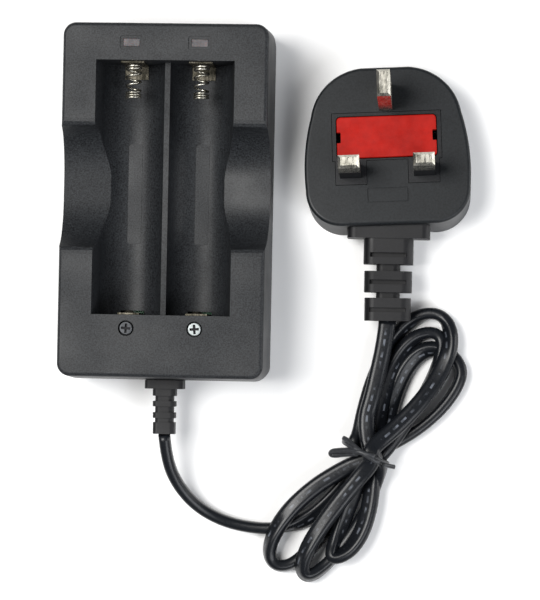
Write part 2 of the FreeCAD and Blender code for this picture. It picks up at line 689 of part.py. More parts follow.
def make_transformer():
    """Two E cores round a wound bobbin."""
    middle = ("21", "-42.5")
    frame = block("core_block", ("13", "6", "12.4"), middle, on_board())
    windows = [
        block("core_window_" + side, ("3", "8", "8"), ("21 %s 3.1" % side_sign, "-42.5"), on_board("2.2"))
        for side, side_sign in (("low", "-"), ("high", "+"))
    ]
    node(cut("core", frame, fuse("core_windows", windows)), "transformer_core")
    coil = block("coil_block", ("8.9", "11", "7.8"), middle, on_board("2.3"))
    leg = block("coil_hole", ("3.4", "6.2", "9"), middle, on_board("2.0"))
    node(cut("coil", coil, leg), "transformer_winding")


def make_capacitors():
    tall = rod("input_can", "4", "12", ("-20.5", "-42.5", on_board()), Vector(0, 0, 1))
    node(tall, "input_capacitor")
    start = ("19", "24", "Sizes.board_top + 3.2")
    lying = rod("output_can", "3.15", "11", start, Vector(0, 1, 0))
    node(lying, "output_capacitor")


def make_small_parts():
    """Chips, diodes and resistors under the bays, on the upper face of the board."""
    diodes = []
    for place in range(4):
        across = "%d" % (-22 + 4 * (place % 2))
        along = "%d" % (-26 + 8 * (place // 2))
        start = (across, along, "Sizes.board_top + 1.4")
        diodes.append(rod("bridge_diode_%d" % place, "1.3", "4.8", start, Vector(0, 1, 0)))
    node(fuse("bridge", diodes), "rectifier_diodes")
    lying = "Sizes.board_top + 1.7"
    node(rod("output_rectifier", "1.6", "7", ("12", "26", lying), Vector(0, 1, 0)), "output_diode")
    node(block("chip", ("4", "5", "1.5"), ("-3", "12"), on_board()), "control_chip")
    node(block("transistor", ("4.5", "3.6", "4.6"), ("4", "-22"), on_board()), "switching_transistor")
    node(rod("surge_resistor", "1.6", "8", ("-9", "-30", lying), Vector(1, 0, 0)), "fusible_resistor")
    chips = [
        block("chip_resistor_%d" % place, ("2", "1.25", "0.5"), ("%g" % (-12 + 4.5 * place), "34"), on_board())
        for place in range(6)
    ]
    node(fuse("resistors", chips), "chip_resistors")


def make_status_leds():
    """A round LED on long legs under each window."""
    for side, word in (("-", "left"), ("", "right")):
        across = side + "Sizes.bay_pitch / 2"
        up = Vector(0, 0, 1)
        base = rod("led_base_" + word, "1.75", "0.9", (across, bound("window_y"), "23"), up)
        can = rod("led_can_" + word, "1.5", "3.6", (across, bound("window_y"), "23.5"), up)
        dome = doc.addObject("Part::Sphere", "led_dome_" + word)
        dome.Radius = 1.5
        for axis, expression in zip("xyz", (across, bound("window_y"), "27.1")):
            dome.setExpression("Placement.Base." + axis, expression)
        legs = []
        for end, offset in (("a", " - 0.889"), ("k", " + 0.889")):
            foot = (across + offset, bound("window_y"), bound("board_top"))
            legs.append(rod("led_leg_%s_%s" % (word, end), "0.25", "18", foot, up))
        node(fuse("led_" + word, [base, can, dome, *legs]), "status_led_" + word)


def make_inner_wires():
    """The two cores of the lead, from the relief to the board."""
    for side, name in ((-1, "live_wire"), (1, "neutral_wire")):
        points = [
            (side * 1.3, -48.45, size("relief_height")),
            (side * 1.7, -45.8, size("relief_height") - 0.8),
            (side * 2.6, -43.8, size("relief_height") - 3.6),
            (side * 3.0, -43.0, size("board_top") + 0.4),
        ]
        feature(name, tube(points, 0.75))


# ---------------------------------------------------------------- reliefs and lead


def stacked_body(name, segments, height_of_axis):
    """Rounded blocks one behind the other along -Y: width, height, start, length and corner."""
    body = new_body(name)
    for place, (wide, high, start, length, corner) in enumerate(segments):
        sketch = new_sketch(body, "%s_section_%d" % (name, place), "XZ_Plane", str(start))
        rectangle(sketch, str(wide), str(high), str(corner), ("0", height_of_axis))
        pad(body, sketch, "%s_block_%d" % (name, place), str(length))
    return body


def make_charger_relief():
    """A flange inside, a neck through the wall, then rings that shrink towards the lead."""
    outside = size("case_length") / 2
    inside = outside - 5.0
    end = outside + 16.3
    core = size("cord_width") + 0.3
    segments = [
        (8.4, 8.4, inside, 1.6, 1.2),
        (5.6, 5.8, inside, 5.5, 0.9),
        (11.6, 9.4, outside + 0.05, 2.6, 1.3),
        (core, core, outside + 2.0, end - outside - 2.0, 1.4),
    ]
    for step, (start, long) in enumerate(((2.6, 2.2), (6.4, 1.6), (9.8, 1.7), (12.8, 3.5))):
        segments.append((6.9 - 0.1 * step, 7.4 - 0.3 * step, outside + start, long, 1.4))
    body = stacked_body("charger_relief", segments, bound("relief_height"))
    node(body, "charger_strain_relief")


def make_plug_relief():
    """A collar trimmed to the plug's edge, then a ribbed tail with side notches and cross slots."""
    middle = "9.4"
    sections = [(25.0, 13.0, 0.0, 4.3, 2.5), (15.0, 11.6, 4.0, 8.1, 3.0), (14.4, 11.0, 14.2, 6.4, 3.0),
                (14.0, 10.4, 22.3, 6.9, 3.0), (7.2, 6.8, 11.0, 17.0, 2.0)]
    body = stacked_body("plug_relief", sections, middle)
    for place, start in enumerate((8.6, 16.8, 25.2)):
        slots = new_sketch(body, "relief_slot_%d" % place, "XZ_Plane", str(start))
        for end in ("-", "+"):
            rectangle(slots, "11", "3", "0.4", ("0", "%s %s 5.1" % (middle, end)))
        pocket(body, slots, "relief_slot_cut_%d" % place, "1.4", reverse=True)
    reach = (size("plug_half_length") - 0.2) * math.cos(math.radians(size("plug_lean")))
    yaw = Rotation(Vector(0, 0, 1), size("plug_yaw"))
    place = Vector(size("plug_x"), size("plug_y"), 0).add(yaw.multVec(Vector(-0.2, -reach, 0)))
    body.Placement = Placement(place, Rotation())
    plug = doc.getObject("plug_body_body")
    node(cut("plug_relief_trimmed", body, plug), "plug_strain_relief")


def make_leads():
    radius = size("cord_width") / 2
    feature("charger_lead", tube(CHARGER_LEAD, radius, "charger_lead"))
    feature("plug_lead", tube(PLUG_LEAD, radius, "plug_lead"))


def closed_curve(points, height):
    """A smooth closed wire through points at one height."""
    curve = Part.BSplineCurve()
    curve.interpolate([Vector(x, y, height) for x, y in points], PeriodicFlag=True)
    return Part.Wire([curve.toShape()])


def make_hank():
    """Two flat bundles of loops, each with its gap, joined by the waist that the tie holds."""
    low, thick = 0.3, 5.5
    slot = Part.makeBox(40, 4.6, 12, Vector(-20, -2.3, 0))
    slot.Placement = waist_placement()
    bundles = []
    for outline, gap in ((UPPER_LOOPS, UPPER_GAP), (LOWER_LOOPS, LOWER_GAP)):
        plate = Part.Face(closed_curve(outline, low)).extrude(Vector(0, 0, thick))
        hole = Part.Face(closed_curve(gap, low - 1)).extrude(Vector(0, 0, thick + 2))
        bundles.append(plate.cut([hole, slot]))
    waist = Part.makeBox(15.0, 17.0, 7.8, Vector(-7.5, -8.5, 2.2))
    waist = waist.makeFillet(2.0, waist.Edges)
    waist.Placement = waist_placement()
    feature("cord_hank", waist.fuse(bundles))


def waist_placement():
    """Local +Y runs along the strands through the tie."""
    return Placement(Vector(61.8, -74.0, 0), Rotation(Vector(0, 0, 1), -28))


def make_twist_tie():
    """Two flat wraps round the waist and the twisted ends at its left."""
    solids = []
    for place in (-0.95, 0.95):
        outer = Part.makeBox(18.8, 2.0, 11.6, Vector(-9.4, place - 1.0, 0.3))
        outer = outer.makeFillet(3.2, [edge for edge in outer.Edges if edge.BoundBox.YLength > 1])
        inner = Part.makeBox(15.6, 4, 8.4, Vector(-7.8, place - 2, 1.9))
        inner = inner.makeFillet(1.7, [edge for edge in inner.Edges if edge.BoundBox.YLength > 3])
        solids.append(outer.cut(inner))
    tail = Part.makeCylinder(1.3, 4.5, Vector(-8.7, 0, 5.0), Vector(-1, 0, 0.15))
    tie = solids[0].fuse([solids[1], tail])
    feature("twist_tie", tie, waist_placement())


# ---------------------------------------------------------------- plug


def plug_outline(sketch, inset=0.0):
    """The nearly round face: arcs over the shoulders, sides and lower corners."""
    wide = size("plug_half_width") - inset
    tall = size("plug_half_length") - inset

    def spot(x, y):
        return Vector(x * wide, y * tall, 0)

    for side in (1, -1):
        shoulder = [spot(side * 0.29, 1.0), spot(side * 0.67, 0.84), spot(side * 0.915, 0.40)]
        flank = [shoulder[-1], spot(side * 1.0, -0.08), spot(side * 1.0, -0.54)]
        corner = [flank[-1], spot(side * 0.875, -0.87), spot(side * 0.50, -1.0)]
        for arc in (shoulder, flank, corner):
            sketch.addGeometry(Part.Arc(*arc))
    sketch.addGeometry(Part.LineSegment(spot(-0.29, 1.0), spot(0.29, 1.0)))
    sketch.addGeometry(Part.LineSegment(spot(-0.50, -1.0), spot(0.50, -1.0)))


def insert_outline(sketch, gap):
    """The plate round the fuse carrier, with a lobe round each flat pin."""
    half = 16.4 + gap
    outer_lobe = 15.6 + gap
    inner_lobe = 6.3 - gap
    top, step, low = 10.1 + gap, -4.4 - gap, -11.7 - gap
    points = [(-half, top), (-half, step), (-outer_lobe, step), (-outer_lobe, low), (-inner_lobe, low),
              (-inner_lobe, step), (inner_lobe, step), (inner_lobe, low), (outer_lobe, low),
              (outer_lobe, step), (half, step), (half, top)]
    polygon(sketch, points)


def make_plug_body():
    """A deep drafted block, cut flat along the surface that the plug lies on."""
    body = new_body("plug_body")
    face = new_sketch(body, "plug_face")
    plug_outline(face)
    pad(body, face, "plug_pad", "24", reverse=True)
    round_edges(body, "Fillet", "plug_face_rounding", "1.1", lambda e: level(e, 0))
    lean = math.radians(size("plug_lean"))
    back = new_sketch(body, "plug_back", "YZ_Plane", "-40")
    reach = 45.0
    at_start = (-size("plug_z") - reach * math.sin(lean)) / math.cos(lean)
    at_end = (-size("plug_z") + reach * math.sin(lean)) / math.cos(lean)
    polygon(back, [(-reach, at_start), (reach, at_end), (reach, -40), (-reach, -40)])
    pocket(body, back, "plug_back_cut", "80", reverse=True)

    insert = new_sketch(body, "insert_recess")
    insert_outline(insert, 0.15)
    pocket(body, insert, "insert_recess_cut", "3.0")
    cavity = new_sketch(body, "fuse_recess")
    wide = "Sizes.carrier_wide + 2 * Sizes.carrier_gap"
    tall = "Sizes.carrier_tall + 2 * Sizes.carrier_gap"
    rectangle(cavity, wide, tall, "1.4", ("0", bound("carrier_y")))
    pocket(body, cavity, "fuse_recess_cut", bound("carrier_deep"))
    sockets = new_sketch(body, "pin_sockets")
    for side in ("-", ""):
        place = (side + "Sizes.pin_spread / 2", bound("pin_line"))
        sharp_rectangle(sockets, "Sizes.pin_width + 0.06", "Sizes.pin_thick + 0.06", place)
    earth = ("0", "Sizes.pin_line + Sizes.pin_spread")
    sharp_rectangle(sockets, "Sizes.pin_thick + 0.06", "Sizes.earth_width + 0.06", earth)
    pocket(body, sockets, "pin_socket_cut", "Sizes.pin_root + 0.1")
    rating = new_sketch(body, "rating_panel")
    rectangle(rating, "12.4", "4.6", "0.4", ("0", "-15.2"))
    rectangle(rating, "11.6", "3.8", "0.2", ("0", "-15.2"))
    pocket(body, rating, "rating_frame_cut", "0.3")
    node(body, "plug_body", plug_placement())


def make_plug_insert():
    """The hard plate that holds the pins, flush with the face."""
    body = new_body("plug_insert")
    plate = new_sketch(body, "insert_plate")
    insert_outline(plate, 0.0)
    pad(body, plate, "insert_pad", "2.9", reverse=True)
    openings = new_sketch(body, "insert_openings")
    wide = "Sizes.carrier_wide + 2 * Sizes.carrier_gap"
    tall = "Sizes.carrier_tall + 2 * Sizes.carrier_gap"
    rectangle(openings, wide, tall, "1.4", ("0", bound("carrier_y")))
    for side in ("-", ""):
        place = (side + "Sizes.pin_spread / 2", bound("pin_line"))
        sharp_rectangle(openings, "Sizes.pin_width + 0.06", "Sizes.pin_thick + 0.06", place)
    pocket(body, openings, "insert_opening_cut", "4")
    node(body, "plug_insert", plug_placement())


def make_pin(name, wide, thick, reach, place, sleeved):
    """A pin with a chamfered tip; a sleeved one is slimmer under its sleeve."""
    body = new_body(name)
    root = new_sketch(body, name + "_root", offset="-Sizes.pin_root")
    trim = "1.0" if sleeved else "0"
    sharp_rectangle(root, "%s - %s" % (wide, trim), "%s - %s" % (thick, trim), place)
    pad(body, root, name + "_root_pad", "Sizes.pin_root + %s" % reach)
    if sleeved:
        tip = new_sketch(body, name + "_tip", offset=bound("sleeve_reach"))
        sharp_rectangle(tip, wide, thick, place)
        pad(body, tip, name + "_tip_pad", "%s - Sizes.sleeve_reach" % reach)
    top = float(sheet.evalExpression(reach))
    round_edges(body, "Chamfer", name + "_chamfer", "0.8", lambda e: level(e, top))
    node(body, name, plug_placement())


def make_pins():
    for side, name in (("-", "live_pin"), ("", "neutral_pin")):
        place = (side + "Sizes.pin_spread / 2", bound("pin_line"))
        make_pin(name, bound("pin_width"), bound("pin_thick"), bound("pin_reach"), place, True)
        sleeve = new_body(name + "_sleeve")
        ring = new_sketch(sleeve, name + "_sleeve_ring", offset="-Sizes.pin_root")
        sharp_rectangle(ring, bound("pin_width"), bound("pin_thick"), place)
        sharp_rectangle(ring, "Sizes.pin_width - 0.96", "Sizes.pin_thick - 0.96", place)
        pad(sleeve, ring, name + "_sleeve_pad", "Sizes.pin_root + Sizes.sleeve_reach - 0.02")
        node(sleeve, name + "_sleeve", plug_placement())
    earth = ("0", "Sizes.pin_line + Sizes.pin_spread")
    make_pin("earth_pin", bound("pin_thick"), bound("earth_width"), bound("earth_reach"), earth, False)


def make_fuse_carrier():
    """A lid with a pry notch at each end and two cheeks that hold the fuse."""
    body = new_body("fuse_carrier")
    lid = new_sketch(body, "carrier_lid", offset="-1.4")
    rectangle(lid, bound("carrier_wide"), bound("carrier_tall"), "1.2", ("0", bound("carrier_y")))
    pad(body, lid, "carrier_lid_pad", "2.0")
    round_edges(body, "Fillet", "carrier_rounding", "0.4", lambda e: level(e, 0.6))
    cheeks = new_sketch(body, "carrier_cheeks", offset="-1")
    for side in ("-", "+"):
        place = ("0", "Sizes.carrier_y %s (Sizes.fuse_radius + 0.85)" % side)
        rectangle(cheeks, "12", "1.4", "0.3", place)
    pad(body, cheeks, "carrier_cheek_pad", "7.4", reverse=True)
    notches = new_sketch(body, "pry_notches", offset="0.6")
    for side in ("-", ""):
        rectangle(notches, "2.4", "3.3", "0.3", (side + "Sizes.carrier_wide / 2", bound("carrier_y")))
    pocket(body, notches, "pry_notch_cut", "2.1")
    node(body, "fuse_carrier", plug_placement())


def make_fuse():
    """A ceramic barrel with a metal cap at each end."""
    half = "Sizes.fuse_length / 2"
    place = ("-(%s) + 5.2" % half, bound("carrier_y"), "-Sizes.fuse_depth")
    barrel = rod("fuse_barrel", "Sizes.fuse_radius - 0.25", "Sizes.fuse_length - 10.4", place, Vector(1, 0, 0))
    plug = plug_placement()
    node(barrel, "plug_fuse_barrel")
    doc.recompute()
    barrel.setExpression("Placement.Base.x", None)
    barrel.setExpression("Placement.Base.y", None)
    barrel.setExpression("Placement.Base.z", None)
    barrel.Placement = plug.multiply(barrel.Placement)
    caps = []
    for start in (-size("fuse_length") / 2, size("fuse_length") / 2 - 5.2):
        centre = Vector(start, size("carrier_y"), -size("fuse_depth"))
        caps.append(Part.makeCylinder(size("fuse_radius"), 5.2, centre, Vector(1, 0, 0)))
    feature("plug_fuse_caps", Part.makeCompound(caps), plug)


def make_fuse_clips():
    """A springy fork under each end of the fuse."""
    inner = size("fuse_radius") + 0.25
    for side, name in ((-1, "fuse_clip_supply"), (1, "fuse_clip_load")):
        across, along = side * 10.4, size("carrier_y")
        outer_block = Part.makeBox(2.6, 2 * inner + 0.9, 6.2, Vector(across - 1.3, along - inner - 0.45, -9.7))
        gap_block = Part.makeBox(4, 2 * inner, 6.2, Vector(across - 2, along - inner, -9.25))
        feature(name, outer_block.cut(gap_block), plug_placement())


# ---------------------------------------------------------------- build, check and write


def build():
    make_top_cover()
    make_bottom_case()
    make_case_screws()
    make_windows()
    make_springs()
    make_negative_plates()
    make_positive_contacts()
    make_board()
    make_transformer()
    make_capacitors()
    make_small_parts()
    make_status_leds()
    make_inner_wires()
    make_charger_relief()
    make_leads()
    make_hank()
    make_twist_tie()
    make_plug_body()
    make_plug_relief()
    make_plug_insert()
    make_pins()
    make_fuse_carrier()
    make_fuse()
    make_fuse_clips()


def check_and_write():
    doc.recompute()
    failed = [obj.Name for obj in doc.Objects if {"Invalid", "Error"} & set(obj.State)]
    if failed:
        raise RuntimeError("failed objects: " + ", ".join(failed))
    for obj in nodes:
        if obj.Shape.isNull() or not obj.Shape.isValid() or obj.Shape.Volume <= 0:
            raise RuntimeError("bad shape: " + obj.Label)
    for obj in nodes:
        obj.Shape.exportStep("parts/%s.step" % obj.Label)
        box = obj.Shape.optimalBoundingBox(False)
        counts = (len(obj.Shape.Solids), obj.Shape.Volume)
        print("%-28s solids %d volume %9.2f" % (obj.Label, *counts),
              "x %.1f %.1f y %.1f %.1f" % (box.XMin, box.XMax, box.YMin, box.YMax),
              "z %.1f %.1f" % (box.ZMin, box.ZMax))


build()
check_and_write()
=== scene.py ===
"""A two-bay cell charger with its tied mains lead and moulded plug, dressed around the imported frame."""

import json
import math

import bmesh
import bpy
from mathutils import Euler, Matrix, Vector


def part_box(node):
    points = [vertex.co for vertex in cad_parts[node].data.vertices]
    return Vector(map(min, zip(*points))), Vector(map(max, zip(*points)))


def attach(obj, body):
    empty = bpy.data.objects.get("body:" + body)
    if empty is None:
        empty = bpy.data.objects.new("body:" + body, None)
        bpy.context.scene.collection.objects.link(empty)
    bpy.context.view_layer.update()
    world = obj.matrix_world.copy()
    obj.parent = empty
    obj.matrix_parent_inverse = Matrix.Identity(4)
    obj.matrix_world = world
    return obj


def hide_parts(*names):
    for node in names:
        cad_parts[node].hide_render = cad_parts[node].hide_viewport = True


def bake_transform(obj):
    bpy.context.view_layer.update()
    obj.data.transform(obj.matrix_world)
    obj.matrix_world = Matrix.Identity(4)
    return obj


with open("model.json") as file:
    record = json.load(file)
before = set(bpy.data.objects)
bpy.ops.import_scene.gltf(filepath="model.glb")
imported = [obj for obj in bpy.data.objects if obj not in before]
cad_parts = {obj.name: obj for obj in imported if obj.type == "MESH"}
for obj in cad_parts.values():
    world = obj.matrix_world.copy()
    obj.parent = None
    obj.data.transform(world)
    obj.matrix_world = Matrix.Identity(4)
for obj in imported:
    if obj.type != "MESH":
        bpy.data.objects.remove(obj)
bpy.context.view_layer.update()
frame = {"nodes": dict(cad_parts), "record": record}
NODES = frame["nodes"]
MM = 0.001


def mm(x, y, z=0.0):
    return Vector((x, y, z)) * MM


def placed(name, data):
    """A new object in the scene that shows the given mesh, curve, light or camera."""
    made = bpy.data.objects.new(name, data)
    bpy.context.scene.collection.objects.link(made)
    return made


# ---------------------------------------------------------------- camera, floor and light

def make_camera():
    """A long lens, almost straight over the object and a little to its right."""
    data = bpy.data.cameras.new("camera")
    data.lens = 160.5
    data.sensor_width = 36.0
    data.clip_end = 10.0
    camera = placed("camera", data)
    camera.location = mm(85.2, -45.0, 820.8)
    tilt = [math.radians(angle) for angle in (1.228, 3.797, 1.122)]
    camera.rotation_euler = Euler(tilt, "XYZ")
    bpy.context.scene.camera = camera


def make_floor():
    half = 3.0
    mesh = bpy.data.meshes.new("floor")
    corners = [(-half, -half, 0), (half, -half, 0), (half, half, 0), (-half, half, 0)]
    mesh.from_pydata(corners, [], [(0, 1, 2, 3)])
    floor = placed("floor", mesh)
    floor.data.materials.append(plain("floor_paper", (0.90, 0.90, 0.90), 0.9))


def make_lights():
    """Soft boxes on three sides and a pale surround."""
    centre = mm(30.0, -30.0, 10.0)
    # name, place, width in metres, power in watts, colour
    boxes = (
        ("key", mm(-290, 60, 780), 0.40, 8.4, (1.0, 0.99, 0.97)),
        ("fill", mm(440, -420, 640), 0.45, 4.2, (0.95, 0.97, 1.0)),
        ("side", mm(640, 20, 150), 0.30, 1.4, (1.0, 1.0, 1.0)),
    )
    for name, place, size, power, colour in boxes:
        data = bpy.data.lights.new(name, "AREA")
        data.size = size
        data.energy = power
        data.color = colour
        light = placed(name, data)
        light.location = place
        light.rotation_euler = (centre - place).to_track_quat("-Z", "Y").to_euler()
    world = bpy.data.worlds.new("studio")
    world.use_nodes = True
    background = world.node_tree.nodes["Background"]
    background.inputs["Color"].default_value = (0.93, 0.95, 1.0, 1.0)
    background.inputs["Strength"].default_value = 0.20
    bpy.context.scene.world = world
    bpy.context.scene.view_settings.view_transform = "Standard"


# ---------------------------------------------------------------- materials

def plain(name, colour, roughness, metallic=0.0, **sockets):
    """A shader with one finish all over; the textured materials start from it."""
    made = bpy.data.materials.new(name)
    made.use_nodes = True
    shader = made.node_tree.nodes["Principled BSDF"]
    shader.inputs["Base Color"].default_value = (*colour, 1.0)
    shader.inputs["Roughness"].default_value = roughness
    shader.inputs["Metallic"].default_value = metallic
    for socket, value in sockets.items():
        shader.inputs[socket.replace("_", " ")].default_value = value
    return made


def texture(made, kind, stretch=(1.0, 1.0, 1.0), source="Object", **settings):
    """A texture node in metres of the part's frame, or of a swept piece's length where the source is UV."""
    nodes, links = made.node_tree.nodes, made.node_tree.links
    place = nodes.new("ShaderNodeTexCoord")
    mapping = nodes.new("ShaderNodeMapping")
    mapping.inputs["Scale"].default_value = stretch
    found = nodes.new(kind)
    for name, value in settings.items():
        found.inputs[name.replace("_", " ")].default_value = value
    links.new(place.outputs[source], mapping.inputs["Vector"])
    links.new(mapping.outputs["Vector"], found.inputs["Vector"])
    return found


def ramp(made, factor, stops):
    """Colours along a factor, from (position, colour) pairs."""
    node = made.node_tree.nodes.new("ShaderNodeValToRGB")
    elements = node.color_ramp.elements
    while len(elements) < len(stops):
        elements.new(0.5)
    for element, (position, colour) in zip(elements, stops):
        element.position = position
        element.color = (*colour, 1.0)
    made.node_tree.links.new(factor, node.inputs["Fac"])
    return node.outputs["Color"]


def shader_of(made):
    return made.node_tree.nodes["Principled BSDF"]


def vary_colour(made, factor, stops):
    made.node_tree.links.new(ramp(made, factor, stops), shader_of(made).inputs["Base Color"])


def spread(made, factor, low, high, to_low=0.0, to_high=1.0):
    """The factor's stretch from low to high, mapped to another range and held at its ends."""
    node = made.node_tree.nodes.new("ShaderNodeMapRange")
    node.inputs["From Min"].default_value = low
    node.inputs["From Max"].default_value = high
    node.inputs["To Min"].default_value = to_low
    node.inputs["To Max"].default_value = to_high
    made.node_tree.links.new(factor, node.inputs["Value"])
    return node.outputs["Result"]


def vary_roughness(made, factor, low, high):
    """Roughness from low to high over the middle of a noise."""
    made.node_tree.links.new(spread(made, factor, 0.3, 0.7, low, high), shader_of(made).inputs["Roughness"])


def combine(made, operation, first, second, clamp=False):
    """Two factors put together by a maths node."""
    node = made.node_tree.nodes.new("ShaderNodeMath")
    node.operation = operation
    node.use_clamp = clamp
    made.node_tree.links.new(first, node.inputs[0])
    made.node_tree.links.new(second, node.inputs[1])
    return node.outputs["Value"]


def bump(made, height, depth, strength=1.0):
    """Relief of a depth in metres; a second call lies on top of the first."""
    node = made.node_tree.nodes.new("ShaderNodeBump")
    node.inputs["Distance"].default_value = depth
    node.inputs["Strength"].default_value = strength
    normal = shader_of(made).inputs["Normal"]
    if normal.is_linked:
        made.node_tree.links.new(normal.links[0].from_socket, node.inputs["Normal"])
    made.node_tree.links.new(height, node.inputs["Height"])
    made.node_tree.links.new(node.outputs["Normal"], normal)


def noise(made, scale, detail=2.0, roughness=0.5, **kwargs):
    return texture(
        made, "ShaderNodeTexNoise", Scale=scale, Detail=detail, Roughness=roughness, **kwargs
    ).outputs["Fac"]


def moulded(name, dark, light, roughness, grain, depth):
    """Moulded plastic: a fine spark-eroded grain and a slow drift of gloss."""
    made = plain(name, light, roughness, Specular_IOR_Level=0.26)
    fine = noise(made, 1.0 / (grain * MM), 3.0, 0.6)
    slow = noise(made, 60.0, 2.0)
    middle = [(a + b) / 2 for a, b in zip(dark, light)]
    vary_colour(made, fine, ((0.36, dark), (0.52, middle), (0.74, light)))
    vary_roughness(made, slow, roughness - 0.06, roughness + 0.08)
    bump(made, slow, 0.00006, 0.25)
    bump(made, fine, depth * MM, 0.6)
    return made


def polished(name, dark, light, roughness, grain=0.9, depth=0.015, specular=0.3):
    """A smooth skin with faint ripple and handling marks."""
    made = plain(name, light, roughness, Specular_IOR_Level=specular)
    ripple = noise(made, 1.0 / (grain * MM), 3.0, 0.55)
    marks = noise(made, 240.0, 4.0, 0.7)
    vary_colour(made, ripple, ((0.30, dark), (0.70, light)))
    vary_roughness(made, marks, roughness * 0.75, roughness * 1.35)
    bump(made, ripple, depth * MM, 0.4)
    return made


def brushed(name, dark, light, roughness, stretch):
    """Plated sheet or wire with fine draw lines along one axis."""
    made = plain(name, light, roughness, 1.0)
    lines = noise(made, 1800.0, 2.0, 0.6, stretch=stretch)
    stain = noise(made, 320.0, 4.0, 0.65)
    vary_colour(made, stain, ((0.34, dark), (0.58, light)))
    vary_roughness(made, lines, roughness * 0.6, roughness * 1.5)
    bump(made, lines, 0.00001, 0.5)
    return made


def screw_material():
    """Plated screws, with a painted dark reflection on the left one, a painted bright reflection on the
    right one, and painted shade down in the cross.
    """
    # The first two colours are painted reflections, dark for the left screw and bright for the right one;
    # the third is painted shade in the cross recess, faded in between the two heights.
    painted_dark_reflection, painted_bright_reflection = (0.035, 0.037, 0.040), (0.22, 0.24, 0.24)
    painted_recess_shade, recess_shade_low, recess_shade_high = (0.006, 0.006, 0.007), 0.0311, 0.0314
    made = plain("screw_steel", (0.5, 0.5, 0.5), 0.4, 0.85)
    nodes, links = made.node_tree.nodes, made.node_tree.links
    turned = noise(made, 700.0, 3.0, 0.6)
    vary_roughness(made, turned, 0.32, 0.52)
    bump(made, turned, 0.00001, 0.3)
    place = nodes.new("ShaderNodeTexCoord")
    split = nodes.new("ShaderNodeSeparateXYZ")
    links.new(place.outputs["Object"], split.inputs["Vector"])
    # Painted reflection across the screws from left to right, then painted shade low in the cross over it.
    side = spread(made, split.outputs["X"], -2 * MM, 2 * MM)
    finish = ramp(made, side, ((0.0, painted_dark_reflection), (1.0, painted_bright_reflection)))
    mix = nodes.new("ShaderNodeMix")
    mix.data_type = "RGBA"
    # a Mix node keeps its factor in socket 0 and its two colours in sockets 6 and 7
    links.new(spread(made, split.outputs["Z"], recess_shade_low, recess_shade_high), mix.inputs[0])
    mix.inputs[6].default_value = (*painted_recess_shade, 1.0)
    links.new(finish, mix.inputs[7])
    links.new(mix.outputs[2], shader_of(made).inputs["Base Color"])
    return made


def lead_material():
    """Glossy PVC jacket with the extruder's faint lengthwise lines and a worn row of pale dashes."""
    jacket, ink = (0.006, 0.007, 0.009), (0.11, 0.12, 0.14)
    row_place, row_half_width = 0.25, 0.014
    made = plain("lead_pvc", jacket, 0.28, Specular_IOR_Level=0.24)
    nodes, links = made.node_tree.nodes, made.node_tree.links
    lines = noise(made, 60.0, 2.0, 0.5, source="UV", stretch=(0.08, 14.0, 1.0))
    haze = noise(made, 420.0, 3.0, 0.6)
    vary_roughness(made, haze, 0.25, 0.31)
    bump(made, lines, 0.00002, 0.3)
    dash = texture(
        made, "ShaderNodeTexBrick", source="UV", Scale=1.0, Brick_Width=0.0034, Row_Height=0.05,
        Mortar_Size=0.0007, Mortar_Smooth=0.2,
    )
    dash.offset = 0.0
    split = nodes.new("ShaderNodeSeparateXYZ")
    links.new(dash.inputs["Vector"].links[0].from_socket, split.inputs["Vector"])
    row = nodes.new("ShaderNodeMath")
    row.operation = "COMPARE"
    row.inputs[1].default_value = row_place
    row.inputs[2].default_value = row_half_width
    links.new(split.outputs["Y"], row.inputs[0])
    worn = spread(made, noise(made, 260.0, 2.0, 0.6), 0.44, 0.62)
    left = combine(made, "MULTIPLY", row.outputs["Value"], worn)
    dashes = combine(made, "SUBTRACT", left, dash.outputs["Fac"], clamp=True)
    vary_colour(made, dashes, ((0.0, jacket), (1.0, ink)))
    return made


def lens_material():
    """Milky plastic with faint clouds in it."""
    made = plain("milky_window", (0.09, 0.085, 0.088), 0.5, Specular_IOR_Level=0.2)
    shader_of(made).inputs["Subsurface Weight"].default_value = 0.25
    shader_of(made).inputs["Subsurface Scale"].default_value = 0.001
    cloud = noise(made, 700.0, 3.0, 0.6)
    vary_colour(made, cloud, ((0.3, (0.055, 0.050, 0.053)), (0.7, (0.12, 0.11, 0.115))))
    vary_roughness(made, cloud, 0.42, 0.58)
    bump(made, cloud, 0.00002, 0.4)
    return made


def board_material():
    """Green solder mask over a weave."""
    made = plain("board_laminate", (0.03, 0.20, 0.09), 0.35)
    weave = texture(made, "ShaderNodeTexBrick", Scale=900.0).outputs["Fac"]
    vary_colour(made, weave, ((0.0, (0.02, 0.17, 0.07)), (1.0, (0.05, 0.26, 0.12))))
    bump(made, weave, 0.00002, 0.4)
    return made


